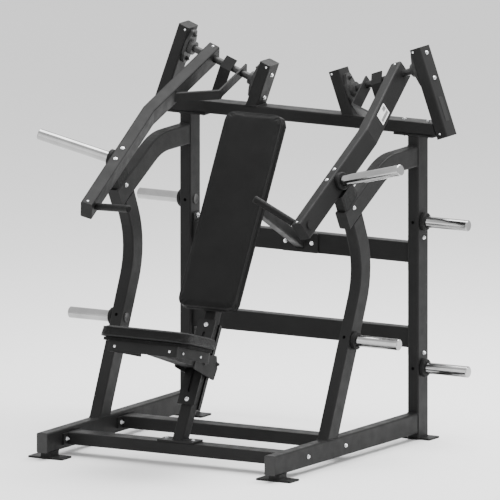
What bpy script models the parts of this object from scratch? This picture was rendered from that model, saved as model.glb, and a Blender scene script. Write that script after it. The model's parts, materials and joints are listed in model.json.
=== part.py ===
"""Plate-loaded incline chest press: welded tube frame, two converging press arms, sliding seat.

Metres, +Z up. X = 0 is the plane of symmetry, the user faces -Y and the floor is Z = 0.
Each arm turns on a tilted shaft between two posts. Its parts are laid out in the shaft's own frame:
x outwards along the shaft, y backwards, z up along the posts.
The spine's parts are laid out in the spine's frame: z up along the tube, y backwards from its front face.
"""

import math

import bmesh
import bpy
from mathutils import Matrix, Vector

# Main tube and clearances
TUBE_W = 0.052
TUBE_D = 0.085
WALL = 0.003
CORNER = 0.006
GAP = 0.0003
PLATE = 0.008
SIDE_X = 0.548
SIDES = {"left": -1, "right": 1}

# Base and uprights
RAIL_FRONT = -1.191
RAIL_Z = 0.0285
UPRIGHT_TOP = 1.2845
FRONT_BEAM_Y = -0.9905
REAR_BEAM_Y = -0.5365
BASE_BEAM_Z = 0.0705
MID_BEAM_Z = 0.7865
LOW_BEAM_Z = 0.4265
FLANGE_BOLT = 0.021

# Upper tubes, struts and bumpers
NECK_Z = 1.2
NECK_BEND_Y = -0.243
NECK_END = (-0.584, 1.0148)
NECK_RADIUS = 0.28
STRUT_KNEE = (-0.403, 0.7955)
STRUT_LEAN = 24.2
STRUT_RADIUS = 0.33

# Pivot posts, shafts and arms
TILT = 20.0
PIVOT = (0.3913, 0.0425, 1.5045)
POST_U = 0.2049
POST_ABOVE = {"outer": 0.0846, "inner": 0.0992}
OUTER_BELOW = 0.3064
SHAFT_R = 0.015
SHAFT_HALF = 0.172
HOUSING = 0.035
ARM_U = 0.0667
ARM_TAIL = 0.034
ARM_ELBOW = (0.0667, -0.3856, -0.212)
ARM_TIP = (-0.0523, -0.9217, -0.5066)
BRACE_U = -0.1005
BRACE_T = 0.008
BRACE_H = 0.05
BRACE_BEND = 0.163
BRACE_MEET = 0.288
LEVER_U = -0.032
LEVER_T = 0.0055
LEVER_FRONT = [(-0.03, -0.135), (-0.03, -0.006), (0.002, 0.0395)]
ARM_PEG_ALONG = 0.295
HANDLE_BACK = 0.038
HANDLE_WAY = {"left": (-0.2059, -0.09, 0.0994), "right": (-0.1334, -0.09, 0.1848)}
HANDLE_REACH = 0.218
HANDLE_R = 0.0125
GRIP_R = 0.0155
GRIP_START = {"left": 0.015, "right": 0.03}

# Weight pegs
PEG_R = 0.024
PEG_LENGTH = 0.218
ARM_PEG_LENGTH = 0.34
COLLAR_R = 0.038
COLLAR_T = 0.02
REAR_PEG_Z = {"upper": 0.919, "lower": 0.301}
FRONT_PEG_Z = 0.504

# Spine and back pad
SPINE_LEAN = 29.0
SPINE_W = 0.05
SPINE_D = 0.055
SPINE_FOOT = (-1.0171, 0.1048)
SPINE_LENGTH = 1.17
BRACE_TUBE = 0.045
BACK_BOTTOM = 0.57
BACK_LENGTH = 0.875
BACK_W = 0.282
BACK_T = 0.044
BOARD_T = 0.012
GUIDE_SPAN = (0.158, 0.538)
GUIDE_W = 0.08
SLOT_PLATE_T = 0.006
SLOT_LENGTH = 0.27
RACK_W = 0.06
RACK_T = 0.02
NOTCHES = 7
NOTCH_HALF = 0.018

# Seat and its carriage
SEAT_FRONT = (-1.316, 0.624)
SEAT_TILT = 14.0
SEAT_DEPTH = 0.355
SEAT_T = 0.06
SEAT_W = (0.443, 0.353)
TRAY_W = 0.33
TRAY_H = 0.045
CARRIAGE_X = (0.0415, 0.0475)
CARRIAGE_OUTLINE = [
    (-0.093, 0.29),
    (0.089, 0.303),
    (0.095, 0.357),
    (0.065, 0.405),
    (-0.075, 0.358),
    (-0.093, 0.326),
]
SEAT_ARM_OUTLINE = [(-1.27, 0.515), (-0.904, 0.395), (-0.872, 0.452), (-0.98, 0.476), (-1.27, 0.545)]
ROLLERS = {"front": (-0.0185, 0.338), "rear": (0.088, 0.375)}
ROLLER_R = 0.0105
ROUND = 28
MACHINE_Y = 0.6155


def clear_scene():
    for obj in list(bpy.data.objects):
        bpy.data.objects.remove(obj, do_unlink=True)


def material(name, colour, roughness, metallic):
    made = bpy.data.materials.new(name)
    made.use_nodes = True
    shader = made.node_tree.nodes["Principled BSDF"]
    shader.inputs["Base Color"].default_value = (*colour, 1.0)
    shader.inputs["Roughness"].default_value = roughness
    shader.inputs["Metallic"].default_value = metallic
    made.diffuse_color = (*colour, 1.0)
    return made


def place(name, mesh, finish, parent=None, location=(0, 0, 0), rotation=(0, 0, 0)):
    """One named object from a bmesh, with its faces turned outwards."""
    parent = parent or bpy.data.objects["machine"]
    bmesh.ops.recalc_face_normals(mesh, faces=mesh.faces)
    data = bpy.data.meshes.new(name)
    mesh.to_mesh(data)
    mesh.free()
    data.materials.append(finish)
    data.shade_smooth()
    data.set_sharp_from_angle(angle=math.radians(35))
    obj = bpy.data.objects.new(name, data)
    bpy.context.collection.objects.link(obj)
    obj.parent = parent
    obj.location = location
    obj.rotation_euler = rotation
    return obj


def empty(name, location, rotation=(0, 0, 0), parent=None):
    made = bpy.data.objects.new(name, None)
    bpy.context.collection.objects.link(made)
    made.location = location
    made.rotation_euler = rotation
    made.parent = parent
    return made


def operand(obj, other, operation):
    """Boolean with a hidden second shape, which isn't a part of its own."""
    other.hide_render = True
    other.display_type = "WIRE"
    step = obj.modifiers.new(f"{operation.lower()}_{other.name}", "BOOLEAN")
    step.operation = operation
    step.object = other


def cut(obj, *others):
    for other in others:
        operand(obj, other, "DIFFERENCE")


def weld(obj, *others):
    for other in others:
        operand(obj, other, "UNION")


def mirrored(points, side):
    return [Vector((side * p[0], p[1], p[2])) for p in points]


# ---------------------------------------------------------------- shapes


def rounded_section(width, depth, radius):
    """A rectangle with each corner as three points of an arc."""
    x, y = width / 2, depth / 2
    return rounded_outline([(x, y), (-x, y), (-x, -y), (x, -y)], [radius] * 4, 2)


def rounded_outline(corners, radii, steps):
    """A convex outline, counter-clockwise, whose corners are arcs."""
    corners = [Vector(corner) for corner in corners]
    points = []
    for index, (corner, radius) in enumerate(zip(corners, radii)):
        before = (corners[index - 1] - corner).normalized()
        after = (corners[(index + 1) % len(corners)] - corner).normalized()
        half = before.angle(after) / 2
        centre = corner + (before + after).normalized() * (radius / math.sin(half))
        start = corner + before * (radius / math.tan(half)) - centre
        for step in range(steps + 1):
            arm = start.copy()
            arm.rotate(Matrix.Rotation((math.pi - 2 * half) * step / steps, 2))
            points.append(tuple(centre + arm))
    return points


def rings_along(path, side, section, start_cut, end_cut):
    """The section at each point of a path, mitred at its corners and carried on past them."""
    ways = [(b - a).normalized() for a, b in zip(path, path[1:])]
    across = Vector(side).normalized()
    rings = []
    for index, point in enumerate(path):
        way = ways[max(index - 1, 0)]
        if index == 0:
            normal = start_cut or way
        elif index == len(path) - 1:
            normal = end_cut or way
        else:
            normal = (way + ways[index]).normalized()
        across = (across - way * across.dot(way)).normalized()
        up = across.cross(way)
        ring = []
        for a, b in section:
            offset = across * a + up * b
            ring.append(point + offset - way * (offset.dot(normal) / way.dot(normal)))
        rings.append(ring)
        if 0 < index < len(path) - 1:
            across = across - 2 * across.dot(normal) * normal
    return rings


def skin(mesh, rings):
    """Side faces through a run of rings."""
    loops = [[mesh.verts.new(point) for point in ring] for ring in rings]
    for first, second in zip(loops, loops[1:]):
        for i in range(len(first)):
            j = (i + 1) % len(first)
            mesh.faces.new((first[i], first[j], second[j], second[i]))
    return loops[0], loops[-1]


def close_ends(mesh, outer, inner, is_open):
    if is_open:
        for i in range(len(outer)):
            j = (i + 1) % len(outer)
            mesh.faces.new((outer[i], outer[j], inner[j], inner[i]))
    else:
        mesh.faces.new(outer)
        mesh.faces.new(inner)


def tube(path, side, width=TUBE_W, depth=TUBE_D, cuts=(None, None), opened=(True, True)):
    """A rectangular tube along a path. An end that isn't opened is closed by a wall."""
    path = [Vector(point) for point in path]
    cuts = [Vector(c) if c else None for c in cuts]
    mesh = bmesh.new()
    outer = rings_along(path, side, rounded_section(width, depth, CORNER), *cuts)
    bore = list(path)
    if not opened[0]:
        bore[0] = path[0] + (path[1] - path[0]).normalized() * WALL
    if not opened[1]:
        bore[-1] = path[-1] - (path[-1] - path[-2]).normalized() * WALL
    hollow = rounded_section(width - 2 * WALL, depth - 2 * WALL, CORNER - WALL)
    inner = rings_along(bore, side, hollow, *cuts)
    outer_ends = skin(mesh, outer)
    inner_ends = skin(mesh, inner)
    for end in (0, 1):
        close_ends(mesh, outer_ends[end], inner_ends[end], opened[end])
    return mesh


def filleted(points, radius, steps=6):
    """A path whose inner corners are arcs."""
    points = [Vector(point) for point in points]
    path = [points[0]]
    for before, corner, after in zip(points, points[1:], points[2:]):
        first = (before - corner).normalized()
        second = (after - corner).normalized()
        half = first.angle(second) / 2
        centre = corner + (first + second).normalized() * (radius / math.sin(half))
        start = corner + first * (radius / math.tan(half)) - centre
        turn = start.cross(corner - centre).normalized()
        sweep = math.pi - 2 * half
        for step in range(steps + 1):
            path.append(centre + Matrix.Rotation(sweep * step / steps, 3, turn) @ start)
    path.append(points[-1])
    return path


def prism(outline, low, high, axis="X"):
    """An outline pushed from low to high: (y, z) along X, (x, z) along Y or (x, y) along Z."""
    order = {
        "X": lambda a, b, c: (c, a, b),
        "Y": lambda a, b, c: (a, c, b),
        "Z": lambda a, b, c: (a, b, c),
    }
    mesh = bmesh.new()
    rings = [[order[axis](a, b, level) for a, b in outline] for level in (low, high)]
    first, last = skin(mesh, rings)
    mesh.faces.new(first)
    mesh.faces.new(last)
    return mesh


def rounded_box(size, radius, centre=(0, 0, 0), axis="Z", edge=0.0):
    """A block whose corners are round about one axis, with an optional small edge chamfer."""
    spans = {"X": (1, 2, 0), "Y": (0, 2, 1), "Z": (0, 1, 2)}[axis]
    wide, tall, deep = (size[i] for i in spans)
    mid_a, mid_b, mid_c = (centre[i] for i in spans)
    outline = [(a + mid_a, b + mid_b) for a, b in rounded_section(wide, tall, radius)]
    mesh = prism(outline, mid_c - deep / 2, mid_c + deep / 2, axis)
    if edge:
        bmesh.ops.recalc_face_normals(mesh, faces=mesh.faces)
        rims = [e for e in mesh.edges if e.calc_face_angle(0) > 1.2]
        bmesh.ops.bevel(mesh, geom=rims, offset=edge, segments=2, affect="EDGES", profile=0.5)
    return mesh


def turned(profile, sides=ROUND):
    """A solid of revolution about Z from (radius, height) points, closed into a ring or on the axis."""
    mesh = bmesh.new()
    rings = []
    for radius, height in profile:
        ring = []
        for step in range(sides):
            angle = 2 * math.pi * step / sides
            ring.append((radius * math.cos(angle), radius * math.sin(angle), height))
        rings.append(ring)
    first, last = skin(mesh, rings)
    mesh.faces.new(first)
    mesh.faces.new(last)
    return mesh


def ring_solid(inner, outer, low, high, sides=ROUND, soften=0.0):
    """A washer-like ring about Z with softened outer edges."""
    mesh = bmesh.new()
    profile = [(inner, low), (outer - soften, low), (outer, low + soften)]
    profile += [(outer, high - soften), (outer - soften, high), (inner, high)]
    loops = []
    for radius, height in profile:
        loop = []
        for step in range(sides):
            angle = 2 * math.pi * step / sides
            loop.append(mesh.verts.new((radius * math.cos(angle), radius * math.sin(angle), height)))
        loops.append(loop)
    for first, second in zip(loops, loops[1:] + loops[:1]):
        for i in range(sides):
            j = (i + 1) % sides
            mesh.faces.new((first[i], first[j], second[j], second[i]))
    return mesh


def aimed(obj, origin, way):
    """Turns an object so that its Z axis points along a direction."""
    obj.location = origin
    obj.rotation_euler = Vector(way).to_track_quat("Z", "Y").to_euler()
    return obj


def rod(name, radius, start, end, finish, parent=None, chamfer=0.0, sides=ROUND):
    start, end = Vector(start), Vector(end)
    length = (end - start).length
    profile = [(radius, 0), (radius, length)]
    if chamfer:
        rim = radius - chamfer
        profile = [(rim, 0), (radius, chamfer), (radius, length - chamfer), (rim, length)]
    return aimed(place(name, turned(profile, sides), finish, parent), start, end - start)


# ---------------------------------------------------------------- frame


def base_rail(name, side, finish):
    start = (side * SIDE_X, -GAP, RAIL_Z + TUBE_D / 2)
    end = (side * SIDE_X, RAIL_FRONT, RAIL_Z + TUBE_D / 2)
    place(f"{name}_base_rail", tube([start, end], (1, 0, 0), opened=(True, False)), finish)


def front_foot(name, side, finish):
    """A stub of tube on a flat plate under the front of the rail."""
    centre_y = RAIL_FRONT + 0.0645
    plate = rounded_box((0.165, 0.08, PLATE), 0.003, (side * SIDE_X, centre_y, PLATE / 2))
    foot = place(f"{name}_front_foot", plate, finish)
    top = RAIL_Z - GAP
    stub = [(side * SIDE_X, centre_y, PLATE / 2), (side * SIDE_X, centre_y, top)]
    weld(foot, place(f"{name}_foot_stub", tube(stub, (1, 0, 0), depth=0.07, opened=(False, True)), finish))


def upright(name, side, finish):
    """The rear post of the frame, with its floor plate and the flange that carries the crossbeam."""
    x, y = side * SIDE_X, TUBE_D / 2
    path = [(x, y, 0.004), (x, y, UPRIGHT_TOP + 0.002)]
    post = place(f"{name}_upright", tube(path, (1, 0, 0), opened=(False, True)), finish)
    foot = rounded_box((0.145, 0.084, PLATE), 0.003, (x, y + 0.012, PLATE / 2))
    flange = rounded_box((0.19, TUBE_D, PLATE), 0.003, (x, y, UPRIGHT_TOP + PLATE / 2))
    top = place(f"{name}_top_flange", flange, finish)
    hole = rounded_box((TUBE_W - 4 * WALL, TUBE_D - 4 * WALL, 0.03), 0.003, (x, y, UPRIGHT_TOP + PLATE))
    cut(top, place(f"{name}_top_opening", hole, finish))
    weld(post, place(f"{name}_rear_plate", foot, finish), top)


def flat_beam(name, y, z, flat, bolt_ways, finish):
    """A beam between the side frames with a bolted flange plate on each end."""
    reach = SIDE_X - TUBE_W / 2 - GAP
    depth = TUBE_D if flat else TUBE_W
    height = TUBE_W if flat else TUBE_D
    path = [(-reach + PLATE / 2, y, z), (reach - PLATE / 2, y, z)]
    beam = place(name, tube(path, (0, 1, 0), width=depth, depth=height), finish)
    extra = 2 * FLANGE_BOLT + 0.028
    size = (PLATE, depth + extra, height - 0.004)
    if bolt_ways == "z":
        size = (PLATE, depth - 0.004, height + extra)
    for side in (-1, 1):
        flange = rounded_box(size, 0.004, (side * (reach - PLATE / 2), y, z), axis="X")
        hole = rounded_box((0.03, depth - 4 * WALL, height - 4 * WALL), 0.003, (side * reach, y, z), axis="X")
        flange_obj = place(f"{name}_flange{side}", flange, finish)
        cut(flange_obj, place(f"{name}_opening{side}", hole, finish))
        weld(beam, flange_obj)


def crossbeam(finish):
    """The top beam lies flat on the uprights and ends against the tilted outer posts."""
    z = UPRIGHT_TOP + PLATE + GAP + TUBE_W / 2
    lean = math.radians(TILT)
    post_x = PIVOT[0] + POST_U * math.cos(lean)
    post_z = PIVOT[2] + POST_U * math.sin(lean)
    reach = post_x + (post_z - z) * math.tan(lean) - (TUBE_W / 2 + GAP) / math.cos(lean)
    cuts = [(-math.cos(lean), 0, math.sin(lean)), (math.cos(lean), 0, math.sin(lean))]
    path = [(-reach, TUBE_D / 2, z), (reach, TUBE_D / 2, z)]
    place("top_crossbeam", tube(path, (0, 1, 0), width=TUBE_D, depth=TUBE_W, cuts=cuts), finish)


def neck_path():
    end = Vector((0, *NECK_END))
    return filleted([(0, -GAP, NECK_Z), (0, NECK_BEND_Y, NECK_Z), end], NECK_RADIUS)


def neck_axes():
    """The direction of the upper tube's straight end, and its upward normal."""
    way = Vector((0, NECK_END[0] - NECK_BEND_Y, NECK_END[1] - NECK_Z)).normalized()
    return way, Vector((0, way.z, -way.y))


def upper_tube(name, side, finish):
    path = [point + Vector((side * SIDE_X, 0, 0)) for point in neck_path()]
    place(f"{name}_upper_tube", tube(path, (1, 0, 0), opened=(True, False)), finish)


def strut(name, side, finish):
    """The bent front strut, from the rail's top up to the underside of the upper tube."""
    way, up = neck_axes()
    lean = math.tan(math.radians(STRUT_LEAN))
    knee = Vector((0, *STRUT_KNEE))
    foot_z = RAIL_Z + TUBE_D + GAP
    foot = Vector((0, knee.y - (knee.z - foot_z) * lean, foot_z))
    under = Vector((0, *NECK_END)) - up * (TUBE_D / 2 + GAP)
    rise = Vector((0, -lean, 1)).normalized()
    top = knee + rise * ((under - knee).dot(up) / rise.dot(up))
    path = [point + Vector((side * SIDE_X, 0, 0)) for point in filleted([foot, knee, top], STRUT_RADIUS, 8)]
    place(f"{name}_strut", tube(path, (1, 0, 0), cuts=((0, 0, 1), up)), finish)


# ---------------------------------------------------------------- pegs


def peg(name, origin, way, length, chrome, rubber, parent=None):
    """A chrome weight peg standing on a tube's face, with its rubber collar."""
    way = Vector(way).normalized()
    start = Vector(origin) + way * GAP
    rod(f"{name}_peg", PEG_R, start, start + way * length, chrome, parent, chamfer=0.003)
    ring = ring_solid(PEG_R + GAP, COLLAR_R, GAP, COLLAR_T, soften=0.004)
    aimed(place(f"{name}_collar", ring, rubber, parent), Vector(origin), way)


def storage_pegs(name, side, chrome, rubber):
    face = SIDE_X + TUBE_W / 2
    for level, z in REAR_PEG_Z.items():
        peg(f"{name}_{level}", (side * face, TUBE_D / 2, z), (side, 0, 0), PEG_LENGTH, chrome, rubber)
    lean = math.tan(math.radians(STRUT_LEAN))
    y = STRUT_KNEE[0] - (STRUT_KNEE[1] - FRONT_PEG_Z) * lean
    peg(f"{name}_front", (side * face, y, FRONT_PEG_Z), (side, 0, 0), PEG_LENGTH, chrome, rubber)


# ---------------------------------------------------------------- pivots


def pivot_posts(name, side, pivot, finish):
    """The outer post passes the crossbeam's end, the inner post stands on its top."""
    lean = math.radians(TILT)
    beam_top = UPRIGHT_TOP + PLATE + TUBE_W + 2 * GAP
    for which, u in (("outer", POST_U), ("inner", -POST_U)):
        foot_z = PIVOT[2] + u * math.sin(lean)
        below = OUTER_BELOW if which == "outer" else (foot_z - beam_top) / math.cos(lean)
        foot_cut = None if which == "outer" else (side * math.sin(lean), 0, math.cos(lean))
        path = [(side * u, 0, -below), (side * u, 0, POST_ABOVE[which])]
        made = tube(path, (1, 0, 0), cuts=(foot_cut, None), opened=(True, False))
        place(f"{name}_{which}_post", made, finish, pivot)


def bearing(name, which, side, pivot, finish):
    """A two-bolt flange housing on the inner face of a post, bored for the shaft."""
    face = POST_U - TUBE_W / 2 - GAP
    sign = 1 if which == "outer" else -1
    way = (-side * sign, 0, 0)
    corners = [(0.037, 0.024), (0.016, 0.074), (-0.016, 0.074), (-0.037, 0.024)]
    corners += [(-x, -y) for x, y in corners]
    flange = prism(rounded_outline(corners, [0.03, 0.012, 0.012, 0.03] * 2, 3), 0, 0.014, "Z")
    housing = aimed(place(f"{name}_{which}_bearing", flange, finish, pivot), (side * sign * face, 0, 0), way)
    hub = turned([(0.031, 0.002), (0.029, HOUSING)])
    hub_obj = aimed(place(f"{name}_{which}_hub", hub, finish, pivot), (side * sign * face, 0, 0), way)
    bore = turned([(SHAFT_R + GAP, -0.002), (SHAFT_R + GAP, HOUSING + 0.01)])
    bore_obj = aimed(place(f"{name}_{which}_bore", bore, finish, pivot), (side * sign * face, 0, 0), way)
    weld(housing, hub_obj)
    cut(housing, bore_obj)


# ---------------------------------------------------------------- arms


def arm_points():
    elbow, tip = Vector(ARM_ELBOW), Vector(ARM_TIP)
    hub = Vector((ARM_U, 0, 0))
    way = (elbow - hub).normalized()
    return hub, way, elbow, (tip - elbow).normalized(), tip


def arm_lower_axes():
    """Sideways and upward directions of the arm's front run, carried round its mitre."""
    _, first, _, second, _ = arm_points()
    mitre = (first + second).normalized()
    across = Vector((1, 0, 0))
    across = across - 2 * across.dot(mitre) * mitre
    return across, second.cross(across)


def shaft_cutter(name, pivot, side, low, high, finish):
    bore = turned([(SHAFT_R + GAP, 0), (SHAFT_R + GAP, high - low)])
    return aimed(place(name, bore, finish, pivot), (side * low, 0, 0), (side, 0, 0))


def press_arm(name, side, pivot, paint, steel):
    hub, way, elbow, front, tip = arm_points()
    path = mirrored([hub - way * ARM_TAIL, elbow, tip], side)
    arm = place(f"{name}_press_arm", tube(path, (1, 0, 0), opened=(True, False)), paint, pivot)
    across, _ = arm_lower_axes()
    start = tip - front * HANDLE_BACK
    bar_way = Vector(HANDLE_WAY[name]).normalized()
    inner = start - across * (TUBE_W / 2)
    bar = mirrored([inner + bar_way * -0.008, inner + bar_way * HANDLE_REACH], side)
    weld(arm, rod(f"{name}_handle_bar", HANDLE_R, *bar, steel, pivot, sides=20))
    boss = mirrored([start + across * (TUBE_W / 2 - 0.002), start + across * (TUBE_W / 2 + 0.006)], side)
    weld(arm, rod(f"{name}_handle_boss", 0.016, *boss, steel, pivot, sides=20))
    cut(arm, shaft_cutter(f"{name}_arm_bore", pivot, side, ARM_U - 0.05, ARM_U + 0.05, steel))
    return arm


def grip(name, side, pivot, rubber):
    """A rubber sleeve on the handle bar, closed at its outer end."""
    _, _, _, front, tip = arm_points()
    across, _ = arm_lower_axes()
    way = Vector(HANDLE_WAY[name]).normalized()
    inner = tip - front * HANDLE_BACK - across * (TUBE_W / 2)
    start, way = mirrored([inner + way * GRIP_START[name], way], side)
    length = HANDLE_REACH - GRIP_START[name] + 0.008
    sleeve = turned([(GRIP_R, 0), (GRIP_R, length - 0.005), (GRIP_R - 0.005, length)], 20)
    sleeve = aimed(place(f"{name}_grip", sleeve, rubber, pivot), start, way)
    hole = turned([(HANDLE_R + GAP, -0.01), (HANDLE_R + GAP, HANDLE_REACH - GRIP_START[name] + GAP)], 20)
    cut(sleeve, aimed(place(f"{name}_grip_hole", hole, rubber, pivot), start, way))


def shaft(name, side, pivot, steel):
    ends = mirrored([(-SHAFT_HALF, 0, 0), (SHAFT_HALF, 0, 0)], side)
    rod(f"{name}_pivot_shaft", SHAFT_R, *ends, steel, pivot, chamfer=0.001)


def brace(name, side, pivot, paint):
    """A flat bar on edge that ties the arm to the inner end of the shaft."""
    _, way, _, _, _ = arm_points()
    up = Vector((1, 0, 0)).cross(way)
    meet = ARM_U - TUBE_W / 2 - GAP
    run = BRACE_MEET - BRACE_BEND
    slant = Vector((run, meet - BRACE_U)).normalized()
    path = [Vector((-ARM_TAIL, BRACE_U)), Vector((BRACE_BEND, BRACE_U)), Vector((BRACE_MEET, meet))]
    shift = Vector((-slant.y, slant.x)) * BRACE_T
    tangent = BRACE_T * math.tan(slant.angle(Vector((1, 0))) / 2)
    outline = [path[0], path[1], path[2], path[2] - Vector((shift.length / slant.y, 0))]
    outline += [path[1] + Vector((-tangent, BRACE_T)), path[0] + Vector((0, BRACE_T))]
    rings = []
    for level in (-BRACE_H / 2, BRACE_H / 2):
        rings.append(mirrored([way * l + Vector((u, 0, 0)) + up * level for l, u in outline], side))
    mesh = bmesh.new()
    first, last = skin(mesh, rings)
    mesh.faces.new(first)
    mesh.faces.new(last)
    bar = place(f"{name}_brace", mesh, paint, pivot)
    cut(bar, shaft_cutter(f"{name}_brace_bore", pivot, side, BRACE_U - 0.03, BRACE_U + 0.03, paint))


def counter_lever(name, side, pivot, paint):
    """A bent plate in front of the shaft, whose top leans back against it."""
    low, bend, top = [Vector(point) for point in LEVER_FRONT]
    slope = (top - bend).normalized()
    inward = Vector((slope.y, -slope.x))
    corner = LEVER_T * math.tan(slope.angle(Vector((0, 1))) / 2)
    back = [top + inward * LEVER_T, bend + Vector((LEVER_T, -corner)), low + Vector((LEVER_T, 0))]
    ends = sorted((side * (LEVER_U - TUBE_W / 2), side * (LEVER_U + TUBE_W / 2)))
    place(f"{name}_counter_lever", prism([low, bend, top, *back], *ends), paint, pivot)


def arm_peg(name, side, pivot, chrome, rubber):
    _, _, elbow, front, _ = arm_points()
    across, _ = arm_lower_axes()
    origin, way = mirrored([elbow + front * ARM_PEG_ALONG + across * (TUBE_W / 2), across], side)
    peg(f"{name}_arm", origin, way, ARM_PEG_LENGTH, chrome, rubber, pivot)


def bumper(name, side, rubber):
    """The rubber block on the upper tube, cut to the slope of the arm that rests on it."""
    way, up = neck_axes()
    seat = Vector((SIDE_X, *NECK_END)) + up * (TUBE_D / 2 + GAP) - way * 0.064
    tilt = Matrix.Rotation(math.radians(-TILT), 3, "Y")
    _, _, elbow, front, _ = arm_points()
    across, arm_up = arm_lower_axes()
    plane_n = tilt @ arm_up
    plane_p = Vector(PIVOT) + tilt @ (elbow - arm_up * (TUBE_D / 2)) - plane_n * 0.0005
    corners = [(-0.055, -0.02), (-0.043, -0.023), (0.043, -0.023), (0.055, -0.02)]
    corners += [(0.055, 0.02), (0.043, 0.023), (-0.043, 0.023), (-0.055, 0.02)]
    low, high = [], []
    for along, off in corners:
        base = seat + way * along + Vector((off, 0, 0))
        low.append(base)
        high.append(base + up * ((plane_p - base).dot(plane_n) / up.dot(plane_n)))
    mesh = bmesh.new()
    first, last = skin(mesh, [mirrored(low, side), mirrored(high, side)])
    mesh.faces.new(first)
    mesh.faces.new(last)
    place(f"{name}_bumper", mesh, rubber)


# ---------------------------------------------------------------- spine and back


def spine(frame, paint):
    """The leaning central tube on its foot plate."""
    lean = math.radians(SPINE_LEAN)
    middle = SPINE_D / 2
    path = [(0, middle, middle * math.tan(lean) - 0.002), (0, middle, SPINE_LENGTH)]
    level = (0, -math.sin(lean), math.cos(lean))
    post = tube(path, (1, 0, 0), SPINE_W, SPINE_D, cuts=(level, None), opened=(False, True))
    post = place("spine_tube", post, paint, frame)
    plate_z = SPINE_FOOT[1] - PLATE / 2
    plate = rounded_box((0.175, TUBE_D, PLATE), 0.004, (0, FRONT_BEAM_Y, plate_z))
    weld(post, place("spine_foot_plate", plate, paint))


def spine_brace(paint):
    """The square tube from the middle rear beam to the back of the spine, square to it."""
    lean = math.radians(SPINE_LEAN)
    face = (TUBE_D - TUBE_W) / 2 - GAP
    end = Vector((0, face - PLATE / 2, MID_BEAM_Z))
    back = Vector((0, math.cos(lean), -math.sin(lean)))
    foot = Vector((0, *SPINE_FOOT))
    start = end - back * ((end - foot).dot(back) - SPINE_D - GAP)
    made = tube([start, end], (1, 0, 0), BRACE_TUBE, BRACE_TUBE, cuts=(None, (0, 1, 0)), opened=(True, False))
    made = place("spine_brace", made, paint)
    flange = rounded_box((0.17, PLATE, TUBE_D - 0.003), 0.004, (0, face - PLATE / 2, MID_BEAM_Z), axis="Y")
    weld(made, place("spine_brace_flange", flange, paint))


def back_rest(frame, wood, vinyl):
    middle = BACK_BOTTOM + BACK_LENGTH / 2
    board_y = -GAP - BOARD_T / 2
    size = (BACK_W - 0.016, BOARD_T, BACK_LENGTH - 0.016)
    place("back_board", rounded_box(size, 0.03, (0, board_y, middle), axis="Y"), wood, frame)
    pad_y = -2 * GAP - BOARD_T - BACK_T / 2
    pad = rounded_box((BACK_W, BACK_T, BACK_LENGTH), 0.035, (0, pad_y, middle), axis="Y", edge=0.008)
    place("back_pad", pad, vinyl, frame)


def seat_guides(frame, black):
    """The slotted plate on the spine's front and, on its back, the strip with a row of notches."""
    low, high = GUIDE_SPAN
    middle, length = (low + high) / 2, high - low
    front_y = -GAP - SLOT_PLATE_T / 2
    plate = rounded_box((GUIDE_W, SLOT_PLATE_T, length), 0.004, (0, front_y, middle), axis="Y")
    plate = place("slotted_plate", plate, black, frame)
    slot = rounded_box((0.012, 0.02, SLOT_LENGTH), 0.0055, (0, front_y, middle), axis="Y")
    cut(plate, place("slot_cutter", slot, black, frame))
    back_y = SPINE_D + GAP + RACK_T / 2
    rack = rounded_box((RACK_W, RACK_T, length), 0.003, (0, back_y, middle), axis="Y")
    rack = place("seat_rack", rack, black, frame)
    for notch in range(NOTCHES):
        z = low + length * (notch + 1) / (NOTCHES + 1)
        at = Vector((0, SPINE_D + RACK_T + GAP, z))
        reach = Vector((NOTCH_HALF, 0, 0))
        cut(rack, rod(f"notch_{notch}", 0.007, at - reach, at + reach, black, frame, sides=10))


# ---------------------------------------------------------------- seat


def seat_carriage(frame, seat_frame, paint, steel):
    """Side plates round the spine, the tapered arm in front of them and the tray under the seat."""
    low, high = CARRIAGE_X
    outline = rounded_outline(CARRIAGE_OUTLINE, [0.008] * len(CARRIAGE_OUTLINE), 2)
    arm = place("seat_carriage", prism(SEAT_ARM_OUTLINE, -low - 0.0006, low + 0.0006), paint)
    for side in (-1, 1):
        ends = sorted((side * low, side * high))
        plate = place(f"carriage_plate{side}", prism(outline, *ends), paint, frame)
        weld(arm, plate)
    depth = SEAT_DEPTH - 0.07
    tray = rounded_box((TRAY_W, depth, TRAY_H), 0.006, (0, 0.03 + depth / 2, -TRAY_H / 2 - GAP))
    tray = place("seat_tray", tray, paint, seat_frame)
    inside = (TRAY_W - 0.008, depth, TRAY_H)
    hollow = rounded_box(inside, 0.003, (0, 0.034 + depth / 2, -TRAY_H / 2 - GAP - 0.004))
    cut(tray, place("seat_tray_inside", hollow, paint, seat_frame))
    weld(arm, tray)
    for name, (y, z) in ROLLERS.items():
        reach = low + 0.002
        weld(arm, rod(f"{name}_roller", ROLLER_R, (-reach, y, z), (reach, y, z), steel, frame, sides=20))


def seat(seat_frame, wood, vinyl):
    """Board and cushion, wider at the front, with round front corners."""
    front, back = SEAT_W[0] / 2, SEAT_W[1] / 2
    for name, inset, low, high, finish in (
        ("seat_board", 0.01, 0, BOARD_T, wood),
        ("seat_pad", 0.0, BOARD_T + GAP, SEAT_T, vinyl),
    ):
        near, far = inset, SEAT_DEPTH - inset
        corners = [(front - inset, near), (back - inset, far), (inset - back, far), (inset - front, near)]
        radii = [0.06, 0.035, 0.035, 0.06]
        mesh = prism(rounded_outline(corners, radii, 5), low, high, "Z")
        if name == "seat_pad":
            bmesh.ops.recalc_face_normals(mesh, faces=mesh.faces)
            rims = [e for e in mesh.edges if e.calc_face_angle(0) > 1.2]
            bmesh.ops.bevel(mesh, geom=rims, offset=0.008, segments=2, affect="EDGES", profile=0.5)
        place(name, mesh, finish, seat_frame)


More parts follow.
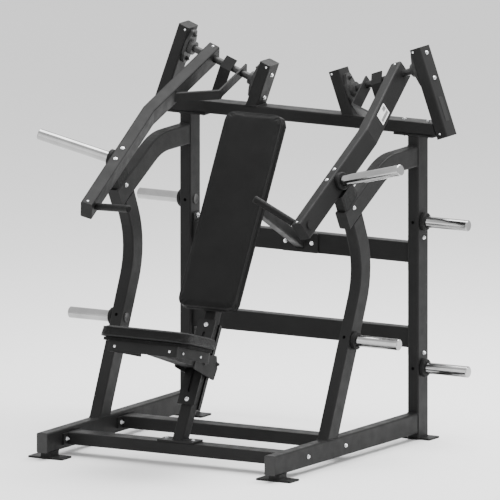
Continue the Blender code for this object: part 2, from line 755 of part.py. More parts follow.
def main():
    clear_scene()
    empty("machine", (0, MACHINE_Y, 0))
    paint = material("frame_paint", (0.075, 0.077, 0.08), 0.42, 0.35)
    steel = material("dark_steel", (0.05, 0.05, 0.052), 0.4, 0.8)
    chrome = material("chrome", (0.75, 0.75, 0.76), 0.12, 1.0)
    rubber = material("black_rubber", (0.015, 0.015, 0.016), 0.7, 0.0)
    vinyl = material("black_vinyl", (0.02, 0.02, 0.021), 0.55, 0.0)
    black = material("black_steel", (0.012, 0.012, 0.013), 0.45, 0.4)
    wood = material("board", (0.05, 0.04, 0.035), 0.8, 0.0)
    for name, side in SIDES.items():
        base_rail(name, side, paint)
        front_foot(name, side, paint)
        upright(name, side, paint)
        upper_tube(name, side, paint)
        strut(name, side, paint)
        storage_pegs(name, side, chrome, rubber)
        bumper(name, side, rubber)
        turn = (0, math.radians(-side * TILT), 0)
        pivot = empty(f"{name}_pivot", (side * PIVOT[0], *PIVOT[1:]), turn, bpy.data.objects["machine"])
        pivot_posts(name, side, pivot, paint)
        for which in ("outer", "inner"):
            bearing(name, which, side, pivot, steel)
        press_arm(name, side, pivot, paint, steel)
        grip(name, side, pivot, rubber)
        shaft(name, side, pivot, steel)
        brace(name, side, pivot, paint)
        counter_lever(name, side, pivot, paint)
        arm_peg(name, side, pivot, chrome, rubber)
    crossbeam(paint)
    flat_beam("front_base_beam", FRONT_BEAM_Y, BASE_BEAM_Z, True, "y", paint)
    flat_beam("rear_base_beam", REAR_BEAM_Y, BASE_BEAM_Z, True, "y", paint)
    flat_beam("mid_rear_beam", TUBE_D / 2, MID_BEAM_Z, False, "z", paint)
    flat_beam("low_rear_beam", TUBE_D / 2, LOW_BEAM_Z, False, "z", paint)
    machine = bpy.data.objects["machine"]
    spine_frame = empty("spine_frame", (0, *SPINE_FOOT), (math.radians(-SPINE_LEAN), 0, 0), machine)
    tilt = math.radians(SEAT_TILT)
    corner = (0, SEAT_FRONT[0] - SEAT_T * math.sin(tilt), SEAT_FRONT[1] - SEAT_T * math.cos(tilt))
    seat_frame = empty("seat_frame", corner, (-tilt, 0, 0), machine)
    spine(spine_frame, paint)
    spine_brace(paint)
    back_rest(spine_frame, wood, vinyl)
    seat_guides(spine_frame, black)
    seat_carriage(spine_frame, seat_frame, paint, steel)
    seat(seat_frame, wood, vinyl)


main()
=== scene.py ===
"""Looks of the plate-loaded chest press: coated tube, chrome pegs, vinyl pads, bolts, plugs and weld beads.

Metres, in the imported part's frame. Each arm's details are laid out in its shaft's own frame:
x outwards along the shaft, y backwards, z up along the posts.
"""

import json
import math
import random

import bmesh
import bpy
from mathutils import Matrix, Vector
from mathutils.bvhtree import BVHTree


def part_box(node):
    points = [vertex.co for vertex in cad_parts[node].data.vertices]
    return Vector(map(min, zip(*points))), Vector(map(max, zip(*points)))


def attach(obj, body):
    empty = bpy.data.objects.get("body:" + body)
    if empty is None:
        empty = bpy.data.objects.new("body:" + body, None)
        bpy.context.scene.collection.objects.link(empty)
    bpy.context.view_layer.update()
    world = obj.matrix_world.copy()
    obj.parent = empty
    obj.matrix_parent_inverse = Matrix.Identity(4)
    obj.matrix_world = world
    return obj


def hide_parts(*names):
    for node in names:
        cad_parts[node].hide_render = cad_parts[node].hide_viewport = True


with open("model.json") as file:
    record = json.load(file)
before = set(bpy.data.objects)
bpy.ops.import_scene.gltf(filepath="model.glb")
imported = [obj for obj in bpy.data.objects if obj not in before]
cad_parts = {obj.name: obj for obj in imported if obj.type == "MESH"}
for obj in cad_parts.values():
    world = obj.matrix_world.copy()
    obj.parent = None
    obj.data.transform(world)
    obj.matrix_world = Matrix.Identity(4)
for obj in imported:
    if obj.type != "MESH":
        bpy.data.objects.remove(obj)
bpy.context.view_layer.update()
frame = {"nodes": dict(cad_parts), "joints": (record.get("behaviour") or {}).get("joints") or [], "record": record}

# Stock sizes of the frame, as the CAD has them
TUBE_W = 0.052
TUBE_D = 0.085
CORNER = 0.006
PLATE = 0.008
SIDE_X = 0.548
SIDES = {"left": -1, "right": 1}
BACK_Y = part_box("left_upright")[0][1]

# Heights and depths of the frame's joints, Y measured from the uprights' front plane
RAIL_TOP = 0.1135
RAIL_MIDDLE = 0.0705
BASE_BEAMS = (-0.9905, -0.5365)
REAR_BEAMS = (0.7865, 0.4265)
NECK_Z = 1.2
STRUT_FOOT_Y = -0.7095
STRUT_LEAN = math.radians(24.2)
STRUT_KNEE = (-0.403, 0.7955)
REAR_PEG_Z = (0.919, 0.301)
FRONT_PEG_Z = 0.504
CROSSBEAM_TOP = 1.3448
FLANGE_TOP = 1.2925
FOOT_Y = -1.1265
FOOT_STUB_TOP = 0.0285
FOOT_STUB_D = 0.07

# Where the frame's bolts sit
RAIL_BOLT_Y = (-0.917, -0.605)
BASE_BEAM_NUT_STEP = 0.052
REAR_BEAM_NUT_STEP = 0.064
REAR_BEAM_BOLT_Y = 0.0467
UPRIGHT_BOLT_Z = (0.8505, 0.363)
CROSSBEAM_BOLT_X = (0.483, 0.599)
UPPER_TUBE_BOLT = (-0.535, 1.065)

# Radius and height of small fixings
STUD = 0.005
SMALL_SCREW_R = 0.0038
TRAY_SCREW_R = 0.0045
ARM_SCREW_R = 0.0065
PLATE_SCREW_R = 0.0078
SET_SCREW = (0.0065, 0.0012)
PEG_PLUG = (0.021, 0.0035)

# Pivot posts and arms, in the shaft's frame
TILT = math.radians(20)
POST_U = 0.2049
POST_ABOVE = {"outer": 0.0846, "inner": 0.0992}
OUTER_BELOW = 0.3064
BEARING_SPREAD = {"outer": 0.055, "inner": 0.0525}
BEARING_FLANGE = 0.0143
ARM_HUB = Vector((0.0667, 0, 0))
ARM_ELBOW = Vector((0.0667, -0.3856, -0.212))
ARM_TIP = Vector((-0.0523, -0.9217, -0.5066))

# Spine, its brace, back pad and seat
SPINE_LEAN = math.radians(29)
SPINE_W = 0.05
SPINE_D = 0.055
BRACE = 0.045
BRACE_FACE_Y = 0.0082
SPINE_FOOT = (-1.0171, 0.1048)
SEAT_TILT = math.radians(14)
SEAT_FRONT = (-1.316, 0.624)
SEAT_T = 0.06
TRAY_SCREW_Z = -0.024

# Cushions: cloth, how far it is held back and how far it may swell
VOXEL = 0.005
CLOTH_FRAMES = 20
CLOTH_PRESSURE = 4.0
CLOTH_STIFFNESS = 30
CUSHION_INSET = 0.002
HELD_DEPTH = 0.011
BACK_SWELL = 0.004
SEAT_SWELL = 0.0045
WELT_R = 0.0022
WELT_SMOOTHING = 9

PIVOTS = {}
for joint in frame["joints"]:
    if joint["type"] == "hinge":
        PIVOTS[joint["name"].split("_")[0]] = Vector(joint["pos_m"])


def turn(angle, axis):
    return Matrix.Rotation(angle, 4, axis)


def at(x, y, z):
    """A point given from the uprights' front plane, in the part's frame."""
    return Vector((x, y + BACK_Y, z))


PIVOT_FRAME = {
    name: Matrix.Translation(PIVOTS[name]) @ turn(-side * TILT, "Y") for name, side in SIDES.items()
}
SPINE_FRAME = Matrix.Translation(at(0, *SPINE_FOOT)) @ turn(-SPINE_LEAN, "X")
SEAT_FRAME = (
    Matrix.Translation(
        at(0, SEAT_FRONT[0] - SEAT_T * math.sin(SEAT_TILT), SEAT_FRONT[1] - SEAT_T * math.cos(SEAT_TILT))
    )
    @ turn(-SEAT_TILT, "X")
)


# ---------------------------------------------------------------- materials


class Surface:
    """A Principled material and short ways to build what feeds it."""

    def __init__(self, name):
        self.material = bpy.data.materials.new(name)
        self.material.use_nodes = True
        self.tree = self.material.node_tree
        self.shader = self.tree.nodes["Principled BSDF"]
        self.place = self.node("ShaderNodeTexCoord").outputs["Object"]

    def node(self, kind, **settings):
        made = self.tree.nodes.new(kind)
        for key, value in settings.items():
            setattr(made, key, value)
        return made

    def set(self, **values):
        for key, value in values.items():
            self.shader.inputs[key.replace("_", " ")].default_value = value

    def link(self, source, target):
        self.tree.links.new(source, target)

    def stretched(self, scale):
        mapping = self.node("ShaderNodeMapping")
        mapping.inputs["Scale"].default_value = scale
        self.link(self.place, mapping.inputs["Vector"])
        return mapping.outputs["Vector"]

    def noise(self, scale, detail=3.0, rough=0.5, place=None):
        made = self.node("ShaderNodeTexNoise")
        made.inputs["Scale"].default_value = scale
        made.inputs["Detail"].default_value = detail
        made.inputs["Roughness"].default_value = rough
        self.link(place or self.place, made.inputs["Vector"])
        return made.outputs["Fac"]

    def cells(self, scale):
        made = self.node("ShaderNodeTexVoronoi", feature="DISTANCE_TO_EDGE")
        made.inputs["Scale"].default_value = scale
        self.link(self.place, made.inputs["Vector"])
        return made.outputs["Distance"]

    def ramp(self, source, stops):
        made = self.node("ShaderNodeValToRGB")
        band = made.color_ramp
        while len(band.elements) < len(stops):
            band.elements.new(0.5)
        for element, (position, colour) in zip(band.elements, stops):
            element.position = position
            element.color = (*colour, 1.0)
        self.link(source, made.inputs["Fac"])
        return made.outputs["Color"]

    def span(self, source, low, high, start=0.3, end=0.7):
        made = self.node("ShaderNodeMapRange")
        for key, value in (("From Min", start), ("From Max", end), ("To Min", low), ("To Max", high)):
            made.inputs[key].default_value = value
        self.link(source, made.inputs["Value"])
        return made.outputs["Result"]

    def mix(self, factor, first, second, blend="MIX"):
        made = self.node("ShaderNodeMix", data_type="RGBA", blend_type=blend)
        self.link(factor, made.inputs["Factor"])
        self.link(first, made.inputs[6])
        self.link(second, made.inputs[7])
        return made.outputs[2]

    def bump(self, layers):
        """Bump nodes in a chain, from (height, depth in metres) pairs."""
        normal = None
        for height, depth in layers:
            made = self.node("ShaderNodeBump")
            made.inputs["Strength"].default_value = 1.0
            made.inputs["Distance"].default_value = depth
            self.link(height, made.inputs["Height"])
            if normal:
                self.link(normal, made.inputs["Normal"])
            normal = made.outputs["Normal"]
        self.link(normal, self.shader.inputs["Normal"])

    def feed(self, **sources):
        for key, source in sources.items():
            self.link(source, self.shader.inputs[key.replace("_", " ")])


def grey(value, tint=0.0):
    return (value, value * (1 + tint / 2), value * (1 + tint))


def coated_paint():
    """Satin charcoal powder coat: fine orange peel, faint clouding and scuffs."""
    s = Surface("charcoal_powder_coat")
    cloud = s.ramp(s.noise(7, 4), [(0.3, grey(0.0125)), (0.7, grey(0.0155))])
    speck = s.ramp(s.noise(1500, 2, 0.7), [(0.42, grey(0.75)), (0.6, grey(1.15))])
    scuff = s.ramp(s.noise(34, 6, 0.72), [(0.7, grey(0.0)), (0.84, grey(0.25))])
    toned = s.mix(s.span(s.noise(60, 3), 0.5, 0.9), cloud, speck, "MULTIPLY")
    worn = s.node("ShaderNodeRGB").outputs[0]
    worn.default_value = (*grey(0.045), 1.0)
    s.feed(Base_Color=s.mix(scuff, toned, worn))
    s.feed(Roughness=s.span(s.noise(24, 5), 0.36, 0.52))
    s.set(Specular_IOR_Level=0.09)
    s.bump([(s.noise(420, 2), 0.00022), (s.noise(1600, 2), 0.00006)])
    return s.material


def polished_chrome():
    """Chrome plate with hairline scratches round the bar and a few smudges."""
    s = Surface("polished_chrome")
    s.feed(Base_Color=s.ramp(s.noise(11, 4), [(0.3, grey(0.3)), (0.7, grey(0.4))]))
    smudge = s.noise(30, 5, 0.65)
    s.feed(Roughness=s.span(smudge, 0.07, 0.2))
    s.set(Metallic=1.0)
    s.bump([(s.noise(9, 6, 0.8, s.stretched((220, 6, 6))), 0.00003)])
    return s.material


def zinc():
    """Bright zinc of bolts, with the mottling of the plating."""
    s = Surface("bright_zinc")
    s.feed(Base_Color=s.ramp(s.noise(260, 3), [(0.3, grey(0.66, 0.03)), (0.7, grey(0.86, 0.02))]))
    s.feed(Roughness=s.span(s.noise(500, 3), 0.2, 0.36))
    s.set(Metallic=0.9)
    s.bump([(s.noise(900, 3), 0.00003)])
    return s.material


def cast_steel():
    """Dark painted castings: a coarse sand texture under a semi-matt coat."""
    s = Surface("dark_casting")
    s.feed(Base_Color=s.ramp(s.noise(90, 5), [(0.3, grey(0.016)), (0.7, grey(0.03))]))
    s.feed(Roughness=s.span(s.noise(140, 4), 0.38, 0.6))
    s.set(Metallic=0.2, Specular_IOR_Level=0.3)
    s.bump([(s.noise(650, 4, 0.6), 0.0002)])
    return s.material


def shaft_steel():
    """Blackened ground bar with fine turning marks along its length."""
    s = Surface("ground_shaft")
    s.feed(Base_Color=s.ramp(s.noise(35, 4), [(0.3, grey(0.014)), (0.7, grey(0.032))]))
    s.feed(Roughness=s.span(s.noise(70, 4), 0.24, 0.42))
    s.set(Metallic=0.3, Specular_IOR_Level=0.3)
    s.bump([(s.noise(8, 3, 0.5, s.stretched((260, 5, 5))), 0.00004)])
    return s.material


def rubber(name, tone, grain):
    s = Surface(name)
    s.feed(Base_Color=s.ramp(s.noise(45, 5), [(0.3, grey(tone * 0.7)), (0.7, grey(tone * 1.4))]))
    s.feed(Roughness=s.span(s.noise(120, 4), 0.55, 0.78))
    s.set(Specular_IOR_Level=0.2)
    s.bump([(s.cells(grain), 0.00025), (s.noise(grain * 2, 3), 0.0001)])
    return s.material


def vinyl(name, tone):
    """Grained upholstery vinyl: pebbled cells with painted shade in the valleys between them, soft creases and a
    dull sheen.
    """
    s = Surface(name)
    pebble = s.cells(620)
    deep = s.ramp(s.noise(9, 4), [(0.3, grey(tone * 0.8)), (0.7, grey(tone * 1.25))])
    # Base colour darker towards the pebbles' edges, down to 0.55 times: painted shade in the grain's low valleys.
    valley_shade = s.ramp(pebble, [(0.0, grey(0.55)), (0.12, grey(1.0))])
    everywhere = s.span(s.noise(200, 2), 0.7, 1.0)
    s.feed(Base_Color=s.mix(everywhere, deep, valley_shade, "MULTIPLY"))
    s.feed(Roughness=s.span(s.noise(14, 5), 0.46, 0.6))
    s.set(Specular_IOR_Level=0.12, Sheen_Weight=0.02, Sheen_Roughness=0.5)
    crease = s.noise(16, 3)
    grain = s.span(pebble, 0, 1, 0.0, 0.16)
    s.bump([(crease, 0.0012), (grain, 0.00018), (s.noise(1500, 2), 0.00005)])
    return s.material


def black_coat():
    """Black coat of the seat's slotted plate and rack, rubbed along the travel."""
    s = Surface("black_coat")
    rub = s.ramp(s.noise(6, 6, 0.75, s.stretched((60, 3, 3))), [(0.6, grey(0.0)), (0.76, grey(0.5))])
    base = s.ramp(s.noise(40, 4), [(0.3, grey(0.003)), (0.7, grey(0.006))])
    worn = s.ramp(s.noise(300, 3), [(0.3, grey(0.012)), (0.7, grey(0.03))])
    s.feed(Base_Color=s.mix(rub, base, worn))
    s.feed(Roughness=s.span(s.noise(60, 4), 0.34, 0.55))
    s.set(Specular_IOR_Level=0.25)
    s.bump([(s.noise(500, 3), 0.00012)])
    return s.material


def dark_board():
    """Plywood stained black, with its grain along the board."""
    s = Surface("stained_board")
    grain = s.noise(9, 6, 0.65, s.stretched((28, 1.5, 1.5)))
    s.feed(Base_Color=s.ramp(grain, [(0.3, grey(0.0032)), (0.7, grey(0.0058))]))
    s.feed(Roughness=s.span(s.noise(80, 4), 0.6, 0.85))
    s.set(Specular_IOR_Level=0.1)
    s.bump([(grain, 0.0003)])
    return s.material


def moulded(name, tone, rough=0.45, gloss=0.35):
    """Moulded plastic of plugs and caps."""
    s = Surface(name)
    s.feed(Base_Color=s.ramp(s.noise(60, 4), [(0.3, grey(tone * 0.85)), (0.7, grey(tone * 1.2))]))
    s.feed(Roughness=s.span(s.noise(160, 3), rough - 0.06, rough + 0.1))
    s.set(Specular_IOR_Level=gloss)
    s.bump([(s.noise(800, 3), 0.00008)])
    return s.material


def floor_surface():
    s = Surface("studio_floor")
    s.feed(Base_Color=s.ramp(s.noise(0.6, 2), [(0.3, grey(0.9)), (0.7, grey(0.92))]))
    s.set(Roughness=0.8, Specular_IOR_Level=0.1)
    return s.material


PAINT = coated_paint()
CHROME = polished_chrome()
ZINC = zinc()
CASTING = cast_steel()
SHAFT = shaft_steel()
RUBBER = rubber("moulded_rubber", 0.004, 300)
GRIP_RUBBER = rubber("grip_rubber", 0.003, 700)
VINYL = vinyl("black_vinyl", 0.0045)
# The welt's vinyl is about three times lighter than the pad's: a painted highlight along the pads' edges, laid on
# a real welt.
PIPING_PAINTED_HIGHLIGHT = vinyl("piping_vinyl_painted_highlight", 0.014)
BLACK_COAT = black_coat()
BOARD = dark_board()
BLACK_PLASTIC = moulded("black_plastic", 0.003, 0.4)
SOCKET_BLACK = moulded("socket_black", 0.0008, 0.8, 0.02)
GREY_PLASTIC = moulded("grey_plastic", 0.013)
LABEL = moulded("label_film", 0.62, 0.35)
LABEL_BAND = moulded("label_band", 0.16, 0.35)


# ---------------------------------------------------------------- mesh helpers


def frame_on(origin, way, up=(0, 0, 1)):
    """A matrix whose Z points along way from origin."""
    z = Vector(way).normalized()
    side = Vector(up).cross(z)
    if side.length < 1e-4:
        side = Vector((1, 0, 0)).cross(z)
    x = side.normalized()
    y = z.cross(x)
    return Matrix.Translation(origin) @ Matrix((x, y, z)).transposed().to_4x4()


def skin(mesh, rings):
    """Faces between rings of vertices in order, with the first and last ring filled."""
    for first, second in zip(rings, rings[1:]):
        for i in range(len(first)):
            j = (i + 1) % len(first)
            mesh.faces.new((first[i], first[j], second[j], second[i]))
    mesh.faces.new(rings[0][::-1])
    mesh.faces.new(rings[-1])


def lathe(mesh, place, profile, sides=20):
    """Closed body of revolution from (radius, height) points. The first and last ring are filled."""
    rings = []
    for radius, height in profile:
        ring = []
        for step in range(sides):
            angle = 2 * math.pi * step / sides
            offset = Vector((radius * math.cos(angle), radius * math.sin(angle), height))
            ring.append(mesh.verts.new(place @ offset))
        rings.append(ring)
    skin(mesh, rings)


def hex_bolt(mesh, origin, way, radius=0.007, spin=0.0):
    """A flanged washer with a chamfered hex head."""
    place = frame_on(origin, way)
    rim = radius * 1.25
    lathe(mesh, place, [(rim, -0.0008), (rim, 0.0012), (rim * 0.94, 0.0019)], 28)
    head = place @ turn(spin, "Z")
    tall = radius * 0.78
    lathe(mesh, head, [(radius, 0.0014), (radius * 1.02, tall), (radius * 0.86, tall * 1.22)], 6)
    lathe(mesh, head, [(radius * 0.8, tall), (radius * 0.72, tall * 1.3)], 20)


def button_head(mesh, origin, way, radius=0.006):
    """A low dome with a hex socket and a thin washer under it."""
    place = frame_on(origin, way)
    rim = radius * 1.25
    lathe(mesh, place, [(rim, -0.0006), (rim, 0.0008), (rim * 0.95, 0.0012)], 24)
    dome = [(radius, 0.0006), (radius, 0.0016)]
    for step in range(1, 6):
        angle = math.pi / 2 * step / 6
        dome.append((radius * math.cos(angle) * 0.98, 0.0016 + radius * 0.5 * math.sin(angle)))
    top = 0.0016 + radius * 0.5
    dome += [(radius * 0.5, top), (radius * 0.42, top - 0.0012), (radius * 0.4, top - 0.0022)]
    lathe(mesh, place, dome, 24)


def nut(mesh, origin, way, radius=0.007):
    """A washer, a nut and the bolt's end standing out of it."""
    place = frame_on(origin, way)
    rim = radius * 1.4
    lathe(mesh, place, [(rim, -0.0008), (rim, 0.0016), (rim * 0.95, 0.002)], 28)
    tall = radius * 0.9
    flats = [(radius * 0.94, 0.0016), (radius, 0.0026), (radius, tall), (radius * 0.86, tall * 1.15)]
    lathe(mesh, place, flats, 6)
    end = tall + STUD
    lathe(mesh, place, [(radius * 0.55, tall), (radius * 0.55, end), (radius * 0.46, end + 0.0008)], 18)


def plug(mesh, origin, way, radius, height):
    """A push-in plug with a rounded rim and a shallow dish."""
    place = frame_on(origin, way)
    rim = [(radius, -0.0008), (radius, height * 0.55), (radius * 0.93, height)]
    rim += [(radius * 0.7, height), (radius * 0.62, height * 0.72)]
    lathe(mesh, place, rim, 32)


def rounded(width, height, corner, steps, inset=0.0, level=0.0):
    """A rectangle with round corners, in order, moved in by inset and lifted to level."""
    points = []
    for quarter, (sx, sy) in enumerate(((1, 1), (-1, 1), (-1, -1), (1, -1))):
        for step in range(steps + 1):
            angle = math.pi / 2 * (quarter + step / steps)
            x = sx * (width / 2 - corner) + (corner - inset) * math.cos(angle)
            y = sy * (height / 2 - corner) + (corner - inset) * math.sin(angle)
            points.append(Vector((x, y, level)))
    return points


def slab(mesh, place, width, height, depth, corner):
    """A thin plate with round corners and a softened front edge, on the XY plane of place."""
    rings = []
    for inset, level in ((0.0, -0.0004), (0.0, depth * 0.6), (depth * 0.4, depth)):
        outline = rounded(width, height, corner, 5, inset, level)
        rings.append([mesh.verts.new(place @ point) for point in outline])
    skin(mesh, rings)


def outline_points(width, height, corner, spacing):
    """Points along a rectangle with round corners, in order, at an even spacing."""
    return resampled(rounded(width, height, corner, 6), spacing)


def resampled(loop, spacing):
    """A closed loop walked at an even spacing."""
    closed = [*loop, loop[0]]
    lengths = [(b - a).length for a, b in zip(closed, closed[1:])]
    total = sum(lengths)
    count = max(12, round(total / spacing))
    points = []
    index, covered = 0, 0.0
    for step in range(count):
        goal = total * step / count
        while covered + lengths[index] < goal:
            covered += lengths[index]
            index += 1
        part = (goal - covered) / lengths[index] if lengths[index] else 0
        points.append(closed[index].lerp(closed[index + 1], part))
    return points


def closed_tube(mesh, points, radius_at, sides=8):
    """A tube round a closed loop, with its own radius at each point."""
    rings = []
    side = None
    count = len(points)
    for index, point in enumerate(points):
        way = (points[(index + 1) % count] - points[index - 1]).normalized()
        side = way.orthogonal() if side is None else side - way * side.dot(way)
        side = side.normalized()
        up = way.cross(side)
        ring = []
        for step in range(sides):
            angle = 2 * math.pi * step / sides
            offset = side * math.cos(angle) + up * math.sin(angle)
            ring.append(mesh.verts.new(point + offset * radius_at(index)))
        rings.append(ring)
    start = min(range(sides), key=lambda k: (rings[0][k].co - rings[-1][0].co).length)
    for index in range(count):
        first, second = rings[index], rings[(index + 1) % count]
        shift = start if index == count - 1 else 0
        for i in range(sides):
            j = (i + 1) % sides
            a, b = second[(i + shift) % sides], second[(j + shift) % sides]
            mesh.faces.new((first[i], first[j], b, a))


def upward(point):
    return frame_on(point, (0, 0, 1), (0, 1, 0))


def forward(point):
    return frame_on(point, (0, -1, 0))


def weld_bead(mesh, place, width, height, radius=0.0028):
    """A rippled bead round a tube's end, where it meets a face."""
    points = [place @ p for p in outline_points(width, height, CORNER, 0.0022)]
    draw = random.Random(len(mesh.verts))
    size = []
    for index in range(len(points)):
        size.append(radius * (0.9 + 0.16 * math.sin(index * 2.1) + 0.1 * draw.random()))
    closed_tube(mesh, points, lambda index: size[index], 6)


def piece(name, mesh, finish, body, angle=35):
    """One named object of the visual model, riding on a body."""
    bmesh.ops.recalc_face_normals(mesh, faces=mesh.faces)
    data = bpy.data.meshes.new(name)
    mesh.to_mesh(data)
    mesh.free()
    data.materials.append(finish)
    data.shade_smooth()
    data.set_sharp_from_angle(angle=math.radians(angle))
    made = bpy.data.objects.new(name, data)
    bpy.context.scene.collection.objects.link(made)
    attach(made, body)
    return made


# ---------------------------------------------------------------- CAD nodes


FINISH_OF_SLOT = {
    "frame_paint": PAINT,
    "chrome": CHROME,
    "dark_steel": CASTING,
    "black_steel": BLACK_COAT,
    "black_rubber": RUBBER,
    "black_vinyl": VINYL,
    "board": BOARD,
}


def finish_nodes():
    """Each CAD node that stays takes the finish of its slot, with shafts and grips told apart."""
    for part in frame["record"]["subparts"]:
        node = frame["nodes"][part["node"]]
        finish = FINISH_OF_SLOT[part["material_slot"]]
        if part["node"].endswith("_pivot_shaft"):
            finish = SHAFT
        if part["node"].endswith("_grip"):
            finish = GRIP_RUBBER
        node.data.materials.clear()
        node.data.materials.append(finish)


# ---------------------------------------------------------------- frame details


def frame_bolts(name, side):
    """Bolts of one side frame: base rail, rear beams, crossbeam and upper tube."""
    mesh = bmesh.new()
    outer, inner = side * (SIDE_X + TUBE_W / 2), side * (SIDE_X - TUBE_W / 2)
    for y in RAIL_BOLT_Y:
        hex_bolt(mesh, at(outer, y, RAIL_MIDDLE), (side, 0, 0), spin=y)
    for beam in BASE_BEAMS:
        for step in (-BASE_BEAM_NUT_STEP, BASE_BEAM_NUT_STEP):
            nut(mesh, at(inner - side * PLATE, beam + step, RAIL_MIDDLE), (-side, 0, 0))
    for z in UPRIGHT_BOLT_Z:
        hex_bolt(mesh, at(outer, REAR_BEAM_BOLT_Y, z), (side, 0, 0), spin=z)
    for beam in REAR_BEAMS:
        for step in (-REAR_BEAM_NUT_STEP, REAR_BEAM_NUT_STEP):
            nut(mesh, at(inner - side * PLATE, REAR_BEAM_BOLT_Y, beam + step), (-side, 0, 0))
    for x in CROSSBEAM_BOLT_X:
        hex_bolt(mesh, at(side * x, TUBE_D / 2, CROSSBEAM_TOP), (0, 0, 1), spin=x)
        nut(mesh, at(side * x, TUBE_D / 2, FLANGE_TOP - PLATE), (0, 0, -1))
    for x, way in ((outer, side), (inner, -side)):
        hex_bolt(mesh, at(x, *UPPER_TUBE_BOLT), (way, 0, 0))
    piece(f"{name}_frame_bolts", mesh, ZINC, "frame")


def peg_fixings(name, side):
    """Black set screws on the tubes' front faces and round plugs opposite the pegs."""
    screws, plugs = bmesh.new(), bmesh.new()
    inner = side * (SIDE_X - TUBE_W / 2)
    for z in REAR_PEG_Z:
        plug(screws, at(side * SIDE_X, 0, z), (0, -1, 0), *SET_SCREW)
        plug(plugs, at(inner, TUBE_D / 2, z), (-side, 0, 0), *PEG_PLUG)
    strut_y = STRUT_KNEE[0] - (STRUT_KNEE[1] - FRONT_PEG_Z) * math.tan(STRUT_LEAN)
    facing = Vector((0, -math.cos(STRUT_LEAN), math.sin(STRUT_LEAN)))
    plug(screws, at(side * SIDE_X, strut_y, FRONT_PEG_Z) + facing * (TUBE_D / 2), facing, *SET_SCREW)
    plug(plugs, at(inner, strut_y, FRONT_PEG_Z), (-side, 0, 0), *PEG_PLUG)
    piece(f"{name}_set_screws", screws, SOCKET_BLACK, "frame")
    piece(f"{name}_peg_plugs", plugs, GREY_PLASTIC, "frame")


def frame_welds(name, side):
    """Beads at the strut's foot, the upper tube, the base rail, the upright's ends and the front foot."""
    mesh = bmesh.new()
    x = side * SIDE_X
    lean = math.cos(STRUT_LEAN)
    weld_bead(mesh, upward(at(x, STRUT_FOOT_Y, RAIL_TOP)), TUBE_W, TUBE_D / lean)
    weld_bead(mesh, forward(at(x, 0, NECK_Z)), TUBE_W, TUBE_D)
    weld_bead(mesh, forward(at(x, 0, RAIL_MIDDLE + 0.0005)), TUBE_W, TUBE_D)
    weld_bead(mesh, upward(at(x, TUBE_D / 2, FLANGE_TOP - PLATE)), TUBE_W, TUBE_D)
    weld_bead(mesh, upward(at(x, TUBE_D / 2, PLATE)), TUBE_W, TUBE_D)
    weld_bead(mesh, upward(at(x, FOOT_Y, PLATE)), TUBE_W, FOOT_STUB_D)
    weld_bead(mesh, upward(at(x, FOOT_Y, FOOT_STUB_TOP)), TUBE_W, FOOT_STUB_D, radius=0.0022)
    piece(f"{name}_frame_welds", mesh, PAINT, "frame", angle=80)


def centre_details():
    """Bolts and beads on the spine's foot, its brace and the slotted plate."""
    bolts, welds = bmesh.new(), bmesh.new()
    for x in (-0.063, 0.063):
        hex_bolt(bolts, at(x, BASE_BEAMS[0], SPINE_FOOT[1]), (0, 0, 1), spin=x)
    for x in (-0.07, 0.056):
        hex_bolt(bolts, at(x, BRACE_FACE_Y, REAR_BEAMS[0]), (0, -1, 0), spin=x)
    facing = SPINE_FRAME.to_3x3() @ Vector((0, -1, 0))
    for z in (0.182, 0.514):
        button_head(bolts, SPINE_FRAME @ Vector((0, -0.0063, z)), facing, PLATE_SCREW_R)
    lean = math.cos(SPINE_LEAN)
    foot = at(0, SPINE_FOOT[0] + SPINE_D / 2 / lean, SPINE_FOOT[1])
    weld_bead(welds, upward(foot), SPINE_W, SPINE_D / lean)
    weld_bead(welds, forward(at(0, BRACE_FACE_Y, REAR_BEAMS[0])), BRACE, BRACE / lean)
    piece("centre_bolts", bolts, ZINC, "frame")
    piece("centre_welds", welds, PAINT, "frame", angle=80)


def rail_caps(name, side):
    """Moulded plugs that close the front ends of the base rails."""
    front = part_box(f"{name}_base_rail")[0][1]
    mesh = bmesh.new()
    place = forward(Vector((side * SIDE_X, front, RAIL_MIDDLE + 0.0005)))
    slab(mesh, place, TUBE_W - 0.001, TUBE_D - 0.001, 0.0026, CORNER)
    piece(f"{name}_rail_cap", mesh, GREY_PLASTIC, "frame")


# ---------------------------------------------------------------- posts and arms


def along(name, x, y, z):
    """A point of the shaft's frame, x outwards, in the part's frame."""
    return PIVOT_FRAME[name] @ Vector((SIDES[name] * x, y, z))


def heading(name, x, y, z):
    return PIVOT_FRAME[name].to_3x3() @ Vector((SIDES[name] * x, y, z))


def post_details(name):
    """Bearing bolts with their nuts, small screws on the posts' fronts and beads at their feet."""
    bolts, nuts, welds = bmesh.new(), bmesh.new(), bmesh.new()
    for which, sign in (("outer", 1), ("inner", -1)):
        face = sign * (POST_U + TUBE_W / 2)
        flange = sign * (POST_U - TUBE_W / 2 - BEARING_FLANGE)
        spread = BEARING_SPREAD[which]
        for z in (-spread, spread):
            hex_bolt(bolts, along(name, face, 0, z), heading(name, sign, 0, 0), spin=z * 9)
            nut(nuts, along(name, flange, 0, z), heading(name, -sign, 0, 0), 0.008)
        top = POST_ABOVE[which] - 0.0125
        spot = along(name, sign * POST_U - 0.012, -TUBE_D / 2, top)
        button_head(bolts, spot, heading(name, 0, -1, 0), SMALL_SCREW_R)
    spot = along(name, POST_U - 0.004, -TUBE_D / 2, 0.02 - OUTER_BELOW)
    button_head(bolts, spot, heading(name, 0, -1, 0), SMALL_SCREW_R)
    foot = at(0, TUBE_D / 2, CROSSBEAM_TOP)
    reach = (foot.z - PIVOTS[name].z + POST_U * math.sin(TILT)) / math.cos(TILT)
    place = Matrix.Translation(along(name, -POST_U, 0, reach))
    weld_bead(welds, place, TUBE_W / math.cos(TILT), TUBE_D)
    piece(f"{name}_post_bolts", bolts, ZINC, "frame")
    piece(f"{name}_bearing_nuts", nuts, CASTING, "frame")
    piece(f"{name}_post_welds", welds, PAINT, "frame", angle=80)


